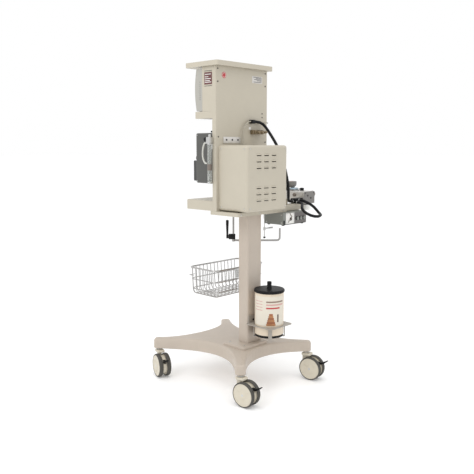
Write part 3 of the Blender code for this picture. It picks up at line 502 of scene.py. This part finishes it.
# ---------------------------------------------------------------- trolley
def build_casters():
    for place, (x, y, heading) in CASTERS.items():
        pivot = Matrix.Translation((x, y, 0)) @ Matrix.Rotation(radians(heading), 4, "Z")
        axle = pivot @ Matrix.Translation((0, WHEEL_TRAIL, WHEEL_RADIUS)) @ Matrix.Rotation(pi / 2, 4, "Y")
        tyres, hubs, ribs = [], [], []
        for sign in (1, -1):
            tyre = [(0.0445, 0.0090), (0.0462, 0.0085), (0.0480, 0.0098), (0.0493, 0.0120),
                    (0.0499, 0.0150),
                    (0.0492, 0.0163), (0.0492, 0.0171), (0.0500, 0.0180), (0.0492, 0.0189),
                    (0.0492, 0.0197),
                    (0.0499, 0.0210), (0.0493, 0.0238), (0.0482, 0.0258), (0.0465, 0.0269),
                    (0.0450, 0.0266),
                    (0.0445, 0.0250), (0.0445, 0.0090)]
            hub = [(0.0052, 0.0084), (0.0443, 0.0092), (0.0443, 0.0262), (0.0430, 0.0268), (0.0405, 0.0266),
                   (0.0395, 0.0256), (0.0190, 0.0250), (0.0150, 0.0254), (0.0135, 0.0266), (0.0120, 0.0270),
                   (0.0, 0.0271)]
            tyres.append(moved(turned([(r, sign * h) for r, h in tyre], 64), axle))
            hubs.append(moved(turned([(r, sign * h) for r, h in hub], 56), axle))
            for k in range(3):
                low, high = sorted((sign * 0.0250, sign * 0.0262))
                rib = rounded_box(0.0200, 0.0300, -0.0016, 0.0016, low, high, 0.0005, 1)
                ribs.append(moved(rib, axle @ Matrix.Rotation(tau * k / 3, 4, "Z")))
        tyres = put("caster_%s_tyres" % place, joined(tyres), rubber(), "wheels_" + place)
        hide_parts("caster_%s_wheels" % place)
        put("caster_%s_hubs" % place, joined(hubs + ribs), cream(), "wheels_" + place)
        caps = [moved(turned([(0.0, s * 0.0276), (0.0040, s * 0.0276), (0.0052, s * 0.0270)], 24), axle)
                for s in (1, -1)]
        pin = moved(turned([(0.0, -0.0085), (0.0040, -0.0085), (0.0040, 0.0085), (0.0, 0.0085)], 24), axle)
        put("caster_%s_axle" % place, joined(caps + [pin]), steel(), "wheels_" + place)
        race = [(0.0108, 0.1134), (0.0122, 0.1138), (0.0128, 0.1150), (0.0122, 0.1166), (0.0108, 0.1170),
                (0.0108, 0.1134)]
        put("caster_%s_race" % place, moved(turned(race, 36), pivot), steel(), "caster_" + place)
        hinge = pivot @ Matrix.Translation((0, 0.052, 0.0751))
        treads = []
        for k in range(4):
            bar = rounded_box(-0.0044, 0.0044, 0.0400 + 0.0026 * k, 0.0411 + 0.0026 * k,
                              0.0103 + 0.0015 * k, 0.0128 + 0.0015 * k, 0.0003, 1)
            treads.append(moved(bar, hinge))
        put("caster_%s_tread" % place, joined(treads), black(), "brake_" + place)
        dress("caster_%s_fork" % place, cream())
        dress("caster_%s_brake" % place, black())


def build_column():
    grooves = []
    for side in (1, -1):
        for offset in (-0.0270, 0.0270):
            grooves.append(rounded_box(offset - 0.0007, offset + 0.0007, side * 0.0270 - 0.0003,
                                       side * 0.0270 + 0.0004, COLUMN_FOOT, COLUMN_TOP, 0.0002, 1))
    put("column_ridges", joined(grooves), casting())
    screws("column_foot_screws", [(0.075, 0.040, 0.1826), (0.075, -0.042, 0.1826)], Z, 0.0042)
    dress("base_casting", casting())
    dress("column", casting())
    dress("support_plate", ivory())
    caps = []
    for x, y, _ in CASTERS.values():
        caps.append(moved(turned([(0.0, 0.0030), (0.0040, 0.0026), (0.0066, 0.0008), (0.0070, -0.0030)],
                                 28),
                          Matrix.Translation((x, y, 0.1622))))
    put("stem_caps", joined(caps), casting())
    screws("deck_screws", [(0.13, 0.0726, 0.7293), (0.02, 0.0726, 0.7293), (-0.13, 0.0726, 0.7293)], Y,
           0.0028)


def build_basket():
    x0, x1, y0, y1, low, high = BASKET
    parts = []

    def ring(z, inset, radius):
        parts.append(wire(loop(x0 + inset, x1 - inset, y0 + inset, y1 - inset, z, 0.022), radius, 10, True))

    ring(high - 0.0035, 0.0035, 0.0035)
    ring(0.437, 0.0055, 0.0021)
    ring(low + 0.0240, 0.0085, 0.0021)

    def drop(px, py, nx, ny, across):
        """One wire: down a wall, round the bend and half way over the bottom."""
        points = [(px + nx * 0.0030, py + ny * 0.0030, high - 0.004)]
        for k in range(5):
            z = 0.47 - 0.076 * k / 4
            inset = 0.0030 + 0.0060 * (high - z) / (high - low)
            points.append((px + nx * inset, py + ny * inset, z))
        bend = 0.020
        for k in range(1, 6):
            a = pi / 2 * k / 5
            inset = 0.0088 + bend * (1 - cos(a))
            points.append((px + nx * inset, py + ny * inset, low + 0.0018 + bend * (1 - sin(a))))
        points.append((px + nx * across, py + ny * across, low + 0.0018))
        parts.append(wire(points, 0.0017, 8))

    count_x, count_y = 13, 7
    for k in range(count_x):
        x = x0 + 0.022 + (x1 - x0 - 0.044) * k / (count_x - 1)
        drop(x, y0, 0, 1, (y1 - y0) / 2)
        drop(x, y1, 0, -1, (y1 - y0) / 2)
    for k in range(count_y):
        y = y0 + 0.022 + (y1 - y0 - 0.044) * k / (count_y - 1)
        drop(x0, y, 1, 0, (x1 - x0) / 2)
        drop(x1, y, -1, 0, (x1 - x0) / 2)
    basket = put("basket_wires", joined(parts), chrome())
    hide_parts("basket")
    dress("basket_bracket", steel())
    screws("basket_screws", [(-0.022, -0.0565, 0.468), (0.022, -0.0565, 0.468)], -Y, 0.0030)
    frame_wire = [(x1 - 0.004, y0 + 0.030, 0.452), (x1 - 0.004, y0 + 0.004, 0.452),
                  (x1 - 0.034, y0 + 0.004, 0.452)]
    put("basket_tag_rail", wire(frame_wire, 0.0014, 6), chrome())


def build_canister():
    (cx, cy), r = CANISTER, CANISTER_SKIN
    dress("canister_body", surface("canister_plastic", (0.70, 0.60, 0.47), 0.34, tint=0.03, grain=700,
                                   bump=0.12,
                                   grime=0.04))
    dress("canister_lid", black())
    dress("canister_holder", surface("holder_coat", (0.36, 0.33, 0.29), 0.42, tint=0.04, grain=900,
                                     bump=0.3))
    put("canister_label", skin(cx, cy, r, -28, 108, 0.276, 0.396),
        surface("canister_wrap", (0.70, 0.65, 0.555), 0.5, tint=0.02, grain=1800, bump=0.10))
    tan = surface("ink_tan", (0.56, 0.25, 0.10), 0.5, tint=0.30, grain=120, bump=0.05)
    brown = surface("ink_brown", (0.10, 0.045, 0.03), 0.5, tint=0.30, grain=120, bump=0.05)
    umber = surface("ink_umber", (0.27, 0.19, 0.15), 0.5, tint=0.10, grain=900, bump=0.05)
    rose = surface("ink_rose", (0.60, 0.36, 0.33), 0.5, tint=0.06, grain=900, bump=0.05)
    for k, (z, a1, mat) in enumerate(((0.3742, 104, umber), (0.3622, 104, rose), (0.3485, 85, red_ink()))):
        put("canister_stripe_%d" % k, skin(cx, cy, r + 0.0003, 29, a1, z - 0.0030, z + 0.0030, 0.0002), mat)
    steps = 6
    for k in range(steps):
        low, high = 0.326 - 0.050 * (k + 1) / steps, 0.326 - 0.050 * k / steps
        middle, half = 48, 5 + 13.5 * (k + 1) / steps
        put("canister_patch_%d" % k, skin(cx, cy, r + 0.0003, middle - half, middle + half, low, high,
                                          0.0002),
            tan if k % 2 else surface("ink_rust", (0.42, 0.15, 0.06), 0.5, tint=0.30, grain=120, bump=0.05))
    put("canister_patch_dark", skin(cx, cy, r + 0.0003, 74, 80, 0.290, 0.322, 0.0002), brown)
    for k in range(4):
        put("canister_note_%d" % k, skin(cx, cy, r + 0.0003, -22, 14, 0.374 - 0.012 * k,
                                         0.3768 - 0.012 * k, 0.0002),
            rose)
    ribs = [moved(rounded_box(0.0620, 0.0630, -0.0011, 0.0011, 0.4080, 0.4156, 0.0003, 1),
                  Matrix.Translation((cx, cy, 0)) @ Matrix.Rotation(tau * k / 36, 4,
                      "Z")) for k in range(36)]
    put("canister_lid_grip", joined(ribs), black())
    foot = [(0.0566, 0.2222), (0.0576, 0.2230), (0.0576, 0.2318), (0.0566, 0.2326)]
    put("canister_foot_band", moved(turned(foot, 64), Matrix.Translation((cx, cy, 0))), black())
    screws("holder_screws", [(x, 0.0303, 0.2800) for x in (-0.0340, 0.0114)], Y, 0.0044, black())


# ---------------------------------------------------------------- cabinet
def build_cabinet():
    for node in ("tower_shell", "rear_panel", "top_shelf", "display_shelf", "rear_cover", "worktop"):
        dress(node, ivory())
    # dark cord laid round the gap under the top shelf: painted shadow of the shelf over the tower top, not
    # a real gasket
    gap_shade = surface("painted_gap_shadow", (0.035, 0.033, 0.030), 0.9, tint=0.2, grain=1500, bump=0.5)
    put("shelf_gap_shadow", wire(loop(-0.1485, 0.1485, -0.1200, -0.0452, 1.3066, 0.004), 0.0007, 6, True),
        gap_shade)
    screws("rear_panel_screws", [(0.1407, REAR, 1.2465), (-0.1386, REAR, 1.2444), (0.1387, REAR, 1.0326),
                                 (-0.1401, REAR, 1.0120), (0.1407, REAR, 1.2960), (-0.1386, REAR, 1.2960)],
                                 Y, 0.0030, dull())
    put("rail_plate", rounded_box(0.0144, 0.1125, REAR + 0.0003, REAR + 0.0033, 1.0065, 1.0325, 0.0010),
        alloy())
    screws("rail_screws", [(x, REAR + 0.0033, 1.0207) for x in (0.0300, 0.0630, 0.0960)], Y, 0.0036,
           black())

    # plain plates where the real machine carries printed ones
    put("side_plate", rounded_box(SIDE + 0.0001, SIDE + 0.0008, -0.1096, -0.0661, 1.2367, 1.2839, 0.0003,
                                  1),
        surface("plate_maroon", (0.13, 0.045, 0.045), 0.4, tint=0.12, grain=700, bump=0.1))
    bars = [rounded_box(SIDE + 0.0008, SIDE + 0.0010, -0.1060, -0.1060 + width, z, z + 0.0024, 0.0001, 1)
            for width, z in ((0.036, 1.2440), (0.028, 1.2500), (0.034, 1.2575), (0.020, 1.2650),
                             (0.034, 1.2745))]
    put("side_plate_bars", joined(bars), paper())
    lines = [rounded_box(SIDE + 0.0001, SIDE + 0.0004, -0.1096, -0.0661, z, z + 0.0022, 0.0001, 1)
             for z in (1.2300, 1.2880)]
    put("side_plate_lines", joined(lines), dark_ink())
    disc = [(0.0, 0.0006), (0.0115, 0.0006), (0.0120, 0.0001)]
    put("rear_disc", moved(turned(disc, 40), facing(Y, (0.1059, REAR, 1.2728))), red_ink())
    ring = [(0.0080, 0.0006), (0.0080, 0.0009), (0.0092, 0.0009), (0.0092, 0.0006)]
    put("rear_disc_ring", moved(turned(ring, 40), facing(Y, (0.1059, REAR, 1.2728))), paper())
    put("data_plate", rounded_box(-0.1189, -0.0569, REAR + 0.0001, REAR + 0.0007, 1.2534, 1.2813, 0.0003,
                                  1), alloy())
    rows = [rounded_box(-0.1155, -0.1155 + w, REAR + 0.0007, REAR + 0.0009, z, z + 0.0022, 0.0001, 1)
            for w, z in ((0.052, 1.2762), (0.036, 1.2718), (0.046, 1.2674), (0.030, 1.2630),
                         (0.050, 1.2568))]
    put("data_plate_rows", joined(rows), dark_ink())
    put("rear_tag", rounded_box(-0.0500, -0.0380, REAR + 0.0001, REAR + 0.0006, 1.0640, 1.0740, 0.0002, 1),
        paper())

    # pressed louvre hoods over each slot of the rear cover
    hoods = []
    for x in LOUVRE_X:
        for z in LOUVRE_Z:
            rows = []
            bm = bmesh.new()
            for j in range(7):
                a = pi / 2 * j / 6
                out, up = 0.0032 * cos(a), 0.0018 + 0.0046 * sin(a)
                line = []
                for i in range(13):
                    s = -1 + 2 * i / 12
                    ease = (1 - abs(s) ** 6)
                    line.append(bm.verts.new((x + 0.0150 * s, COVER_REAR + out * ease,
                                              z + up * (0.55 + 0.45 * ease))))
                rows.append(line)
            for one, two in zip(rows, rows[1:]):
                for i in range(12):
                    bm.faces.new((one[i], one[i + 1], two[i + 1], two[i]))
            hoods.append(bm)
    hoods = put("louvre_hoods", joined(hoods), ivory())
    hoods.modifiers.new("sheet", "SOLIDIFY").thickness = 0.0006
    screws("cover_screws", [(0.1365, -0.030, 0.985), (0.1365, -0.030, 0.755), (0.1365, 0.095, 0.985),
                            (0.1365, 0.095, 0.755)], X, 0.0026)
    screws("cover_rear_screws", [(x, COVER_REAR, z) for z in (0.985, 0.755) for x in (0.122, -0.088)], Y,
           0.0026)

    dress("control_board", surface("board_green", (0.03, 0.16, 0.06), 0.4, tint=0.2, grain=260, bump=0.2))
    dress("power_supply", surface("zinc_plate", (0.50, 0.51, 0.51), 0.36, 0.9, 0.10, 120, 0.2))
    dress("gas_manifold", alloy())
    dress("rear_port_block", black())
    dress("gas_inlet", surface("brass_fitting", (0.30, 0.24, 0.16), 0.40, 0.9, 0.10, 400, 0.20))
    rings = [moved(turned([(0.0074, 0.000), (0.0078, 0.001), (0.0078, 0.004), (0.0074, 0.005)], 6),
                   facing(Y, (x, -0.0238, 1.0530))) for x in (-0.0560, -0.0780, -0.1000)]
    put("inlet_nuts", joined(rings), surface("brass_fitting", (0.30, 0.24, 0.16)))
    clip = [(-0.1300, REAR + 0.0010, 1.0930), (-0.1300, -0.0200, 1.0930), (-0.1255, -0.0165, 1.0900)]
    put("hose_clip", wire(clip, 0.0016, 8), steel())
    for k, (x, z) in enumerate(((-0.12, 1.1307), (-0.12, 1.1154))):
        put("panel_plug_%d" % k, moved(turned([(0.0, 0.0010), (0.0022, 0.0009), (0.0030, 0.0001)], 20),
                                       facing(Y, (x, REAR, z))), black())


def build_display():
    dress("display_bezel", surface("bezel_moulding", (0.40, 0.39, 0.355), 0.5, tint=0.03, grain=1700,
                                   bump=0.35))
    dress("display_screen", surface("screen_black", (0.006, 0.008, 0.011), 0.10, tint=0.05, grain=40,
                                    bump=0.0,
                                    coat=0.5))
    dress("menu_knob", black())
    glow = {}
    for name, colour in (("green", (0.06, 0.55, 0.18)), ("amber", (0.70, 0.42, 0.05)),
                         ("blue", (0.08, 0.30, 0.62))):
        mat = surface("trace_" + name, colour, 0.4, tint=0.05, grain=200, bump=0.0)
        mat.node_tree.nodes["Principled BSDF"].inputs["Emission Color"].default_value = (*colour, 1)
        mat.node_tree.nodes["Principled BSDF"].inputs["Emission Strength"].default_value = 0.9
        glow[name] = mat
    for row, (name, base) in enumerate((("green", 1.262), ("amber", 1.234), ("blue", 1.206))):
        points = []
        for k in range(81):
            t = k / 80
            phase = (t * 4 + row * 0.3) % 1.0
            lift = 0.011 * min(1.0, phase / 0.12) * max(0.0,
                                                        min(1.0,
                                                            (0.5 - phase) / 0.2)) if phase < 0.5 else 0.0
            points.append((SCREEN_X + 0.008 + (SCREEN_WIDTH - 0.062) * t, SCREEN_TRACE_Y, base + lift))
        put("screen_trace_" + name, wire(points, 0.0004, 4), glow[name])
    tiles = [rounded_box(0.0440, 0.0790, -0.1594, -0.1591, 1.2560 - 0.0225 * k, 1.2740 - 0.0225 * k,
                         0.0001, 1)
             for k in range(4)]
    put("screen_tiles", joined(tiles), surface("tile_slate", (0.045, 0.06, 0.08), 0.3, tint=0.08, grain=60,
                                               bump=0.0))
    keys = []
    for k in range(4):
        keys.append(rounded_box(0.0985, 0.1345, -0.1652, -0.1610, 1.2590 - 0.0150 * k, 1.2690 - 0.0150 * k,
                                0.0012, 2))
    put("display_keys", joined(keys), surface("key_grey", (0.24, 0.24, 0.23), 0.5, tint=0.04, grain=1500,
                                              bump=0.3))
    vents = [moved(turned([(0.0, 0.0008), (0.0012, 0.0007), (0.0016, 0.0001)], 12),
                   facing(X, (SIDE, -0.1350, 1.1800 + 0.0085 * k))) for k in range(9)]
    put("display_side_dots", joined(vents), black())
    ridges = [moved(rounded_box(0.0136, 0.0150, -0.0006, 0.0006, 0.003, 0.0135, 0.0002, 1),
                    facing(-Y, (0.1165, -0.1648, 1.195)) @ Matrix.Rotation(tau * k / 24, 4,
                        "Z")) for k in range(24)]
    put("menu_knob_grip", joined(ridges), black(), "menu_knob")


# ---------------------------------------------------------------- gas side
def build_gas_side():
    dress("vaporizer_body", surface("vaporizer_enamel", (0.085, 0.085, 0.079), 0.34, tint=0.08, grain=800,
                                    bump=0.35))
    dress("vaporizer_dial", black())
    dress("vaporizer_filler", surface("filler_moulding", (0.05, 0.05, 0.05), 0.38, tint=0.1, grain=1500,
                                      bump=0.3))
    dress("vaporizer_lock", black())
    dress("back_bar", steel())
    dial = facing(-Y, (0.078, -0.1873, 1.0040))
    marks = [moved(rounded_box(0.0245, 0.0275, -0.0004, 0.0004, 0.0124, 0.0130, 0.0001, 1),
                   dial @ Matrix.Rotation(radians(12 + 22 * k), 4, "Z")) for k in range(13)]
    put("dial_marks", joined(marks), paper(), "vaporizer_dial")
    grip = [moved(rounded_box(0.0307, 0.0316, -0.0010, 0.0010, 0.002, 0.0098, 0.0003, 1),
                  dial @ Matrix.Rotation(tau * k / 30, 4, "Z")) for k in range(30)]
    put("dial_grip", joined(grip), black(), "vaporizer_dial")
    sight = rounded_box(0.0360, 0.0470, -0.1882, -0.1872, 0.8600, 0.9300, 0.0005, 2)
    put("vaporizer_sight", sight, clear("sight_window", (0.70, 0.74, 0.72)))
    put("vaporizer_plate", rounded_box(0.0380, 0.1180, -0.1876, -0.1871, 0.9480, 0.9640, 0.0002, 1),
        surface("plate_violet", (0.22, 0.07, 0.30), 0.4, tint=0.06, grain=900, bump=0.1))
    screws("vaporizer_screws", [(0.1281, y, z) for y in (-0.178, -0.097) for z in (0.853, 1.040)], X,
           0.0024)

    dress("flowmeter_valve", steel())
    dress("flowmeter_knob", black())
    dress("flowmeter_tube", clear("flow_tube_clear", (0.80, 0.82, 0.79)))
    dress("flowmeter_float", surface("float_black", (0.02, 0.02, 0.02), 0.3, tint=0.1, grain=900,
                                     bump=0.05))
    x, y = FLOWMETER
    ticks = [skin(x, y, 0.00835, -20, 30 if k % 5 else 60, 0.862 + 0.0055 * k, 0.8626 + 0.0055 * k, 0.0001)
             for k in range(25)]
    put("flow_tube_scale", joined(ticks), dark_ink())
    put("flow_tube_band", skin(x, y, 0.00845, -70, 130, 0.900, 0.925, 0.0003),
        surface("band_brown", (0.20, 0.165, 0.14), 0.45, tint=0.08, grain=900, bump=0.1))
    put("flow_tube_foot", moved(turned([(0.0084, 0.8472), (0.0088, 0.8480), (0.0088, 0.8530),
                                        (0.0084, 0.8538)], 28),
                                Matrix.Translation((x, y, 0))), steel())


# ---------------------------------------------------------------- breathing side
def build_breathing_side():
    dress("mount_arm", ivory())
    dress("breathing_block", alloy())
    dress("hose_manifold", black())
    dress("valve_dome", clear("dome_blue", (0.55, 0.68, 0.78), 0.08))
    dress("pressure_gauge", surface("gauge_case", (0.20, 0.19, 0.175), 0.38, tint=0.06, grain=900,
                                    bump=0.2))
    dress("selector_knob", black())
    dress("pressure_limit_knob", surface("knob_brown", (0.11, 0.085, 0.07), 0.4, tint=0.1, grain=1300,
                                         bump=0.3))
    dress("absorber_bowl", clear("bowl_clear", (0.80, 0.80, 0.76)))
    put("block_side_knob", moved(turned([(0.0, 0.0060), (0.0068, 0.0056), (0.0078, 0.0040), (0.0078, 0.0)],
                                        32),
                                 facing(X, (-0.2823, 0.0062, 0.7830))),
        surface("knob_brown", (0.11, 0.085, 0.07)))
    screws("block_port_screws", [(-0.3075, 0.0605, 0.7810), (-0.3290, 0.0605, 0.7700)], Y, 0.0040, dull())
    put("block_rear_plate", rounded_box(-0.3565, -0.2829, 0.0600, 0.0605, 0.7460, 0.7990, 0.0002, 1),
        surface("plate_dim", (0.21, 0.20, 0.19), 0.45, 0.3, tint=0.06, grain=700, bump=0.2))
    put("block_elbow", joined([wire([(-0.1960, 0.0300, 0.7502), (-0.1960, 0.0300, 0.7620),
                                     (-0.1935, 0.0300, 0.7690),
                                     (-0.1870, 0.0300, 0.7730), (-0.1760, 0.0300, 0.7740)], 0.0060, 20)]),
        cream())
    top = BLOCK_TOP
    screws("block_screws", [(-0.350, -0.110, top), (-0.290, -0.110, top), (-0.350, 0.052, top),
                            (-0.290, 0.052, top),
                            (-0.350, -0.060, top)], Z, 0.0032)
    screws("block_rear_screws", [(-0.3495, 0.0605, 0.792), (-0.290, 0.0605, 0.792),
                                 (-0.290, 0.0605, 0.753)], Y, 0.0028, dull())
    face = facing(Z, GAUGE_FACE)
    put("gauge_face", moved(turned([(0.0, 0.0003), (0.0268, 0.0003), (0.0272, 0.0)], 48), face), paper())
    ticks = [moved(rounded_box(0.0205 if k % 5 else 0.0180, 0.0245, -0.0003, 0.0003, 0.0003, 0.0005,
                               0.00005, 1),
                   face @ Matrix.Rotation(radians(-30 - 12 * k), 4, "Z")) for k in range(21)]
    put("gauge_ticks", joined(ticks), dark_ink())
    needle = rounded_box(-0.0050, 0.0200, -0.0004, 0.0004, 0.0005, 0.0009, 0.0001, 1)
    put("gauge_needle", moved(needle, face @ Matrix.Rotation(radians(160), 4, "Z")), red_ink())
    disc = [(0.0, 0.0), (0.0150, 0.0), (0.0150, 0.0012), (0.0, 0.0018)]
    put("dome_ring", moved(turned([(0.0227, 0.0), (0.0240, 0.0006), (0.0240, 0.0026), (0.0227, 0.0032)],
                                  40),
                           Matrix.Translation((-0.3200, -0.0270, 0.8000))), alloy())
    put("bowl_filling", moved(turned(disc, 32), Matrix.Translation((*BOWL, 0.7164))),
        surface("filling_rose", (0.62, 0.42, 0.40), 0.8, tint=0.2, grain=400, bump=0.5))
    put("bowl_collar", moved(turned([(0.0252, 0.7405), (0.0262, 0.7412), (0.0262, 0.7442),
                                     (0.0252, 0.7450)], 40),
                             Matrix.Translation((*BOWL, 0))), black())
    ferrules = []
    for at, axis in (((-0.2520, 0.0560, 0.7640), Y), ((-0.2294, 0.0405, 0.7600), X),
                     ((-0.2370, 0.0560, 0.7560), Y)):
        ferrules.append(moved(turned([(0.0059, 0.0), (0.0066, 0.0006), (0.0066, 0.0036), (0.0059, 0.0042)],
                                     24),
                              facing(axis, at)))
    put("hose_ferrules", joined(ferrules), steel())


# ---------------------------------------------------------------- under the worktop
def build_underside():
    dress("suction_case", surface("case_coat", (0.235, 0.245, 0.225), 0.42, tint=0.06, grain=800, bump=0.3,
                                  grime=0.08))
    dress("drain_valve", steel())
    dress("clamp_post", rod())
    dress("swing_arm", rod())
    dress("clamp_lever", black())
    aim = Vector((HOOK_PIVOT[0] - HOOK_END[0], HOOK_PIVOT[1] - HOOK_END[1], 0.0)).normalized()
    heading = X.rotation_difference(aim).to_matrix().to_4x4()
    put("clamp_hub_cover", moved(rounded_box(-0.0083, 0.0199, -0.0093, 0.0093, 0.0055, 0.0273, 0.0010),
                                 Matrix.Translation((*HOOK_PIVOT, HOOK_Z)) @ heading), black())
    put("case_dark_panel", rounded_box(-0.2496, -0.1705, 0.0968, 0.0980, 0.6745, 0.7190, 0.0005, 1),
        surface("panel_umber", (0.155, 0.145, 0.14), 0.5, tint=0.08, grain=900, bump=0.25))
    put("case_corner_guard", joined([rounded_box(-0.1150, -0.0990, 0.0967, 0.0985, 0.6712, 0.6725, 0.0003,
                                                 1),
                                     rounded_box(-0.1065, -0.0990, 0.0967, 0.0985, 0.6725, 0.6900, 0.0003,
                                                 1)]),
        black())
    put("case_lower_edge", rounded_box(-0.2500, -0.1150, 0.0967, 0.0982, 0.6712, 0.6735, 0.0004, 1), dull())
    put("case_cable", wire([(-0.1360, 0.1005, 0.7215), (-0.1400, 0.1015, 0.7120), (-0.1490, 0.1015, 0.7040),
                            (-0.1450, 0.1015, 0.6960), (-0.1330, 0.1015, 0.6900),
                            (-0.1260, 0.1010, 0.6800)],
                           0.0014, 10),
        surface("cable_thin", (0.24, 0.21, 0.17), 0.5, tint=0.06, grain=900, bump=0.2))
    put("outlet_panel", rounded_box(-0.1680, -0.1130, 0.0969, 0.0991, 0.6745, 0.7190, 0.0010), paper())
    put("outlet_button", moved(turned([(0.0, 0.0022), (0.0060, 0.0020), (0.0072, 0.0002)], 28),
                               facing(Y, (-0.1440, 0.0991, 0.6940))), black())
    screws("outlet_screws", [(x, 0.0991, z) for x in (-0.1630, -0.1180) for z in (0.6790, 0.7145)], Y,
           0.0022)
    feet = [moved(turned([(0.0, -0.0040), (0.0052, -0.0040), (0.0062, -0.0028), (0.0062, 0.0)], 24),
                  Matrix.Translation((x, y, 0.6708))) for x in (-0.112, -0.238) for y in (0.006, 0.084)]
    put("case_feet", joined(feet), rubber())
    screws("case_side_screws", [(-0.0999, y, z) for y in (0.004, 0.085) for z in (0.680, 0.712)], X, 0.0024)
    nuts = [moved(turned([(0.0078, 0.0), (0.0088, 0.0008), (0.0088, 0.0050), (0.0078, 0.0058)], 6),
                  facing(Y, (x, 0.0968, 0.6940))) for x in (-0.2080, -0.2300, -0.1860)]
    put("case_nuts", joined(nuts), black())
    tip = [(0.0, 0.6061), (0.0047, 0.6064), (0.0050, 0.6074), (0.0050, 0.6118), (0.0046, 0.6124)]
    put("drain_tip", moved(turned(tip, 24), Matrix.Translation((-0.1050, -0.0130, 0))), black())


def main():
    build_stage()
    build_cords()
    build_casters()
    build_column()
    build_basket()
    build_canister()
    build_cabinet()
    build_display()
    build_gas_side()
    build_breathing_side()
    build_underside()


main()
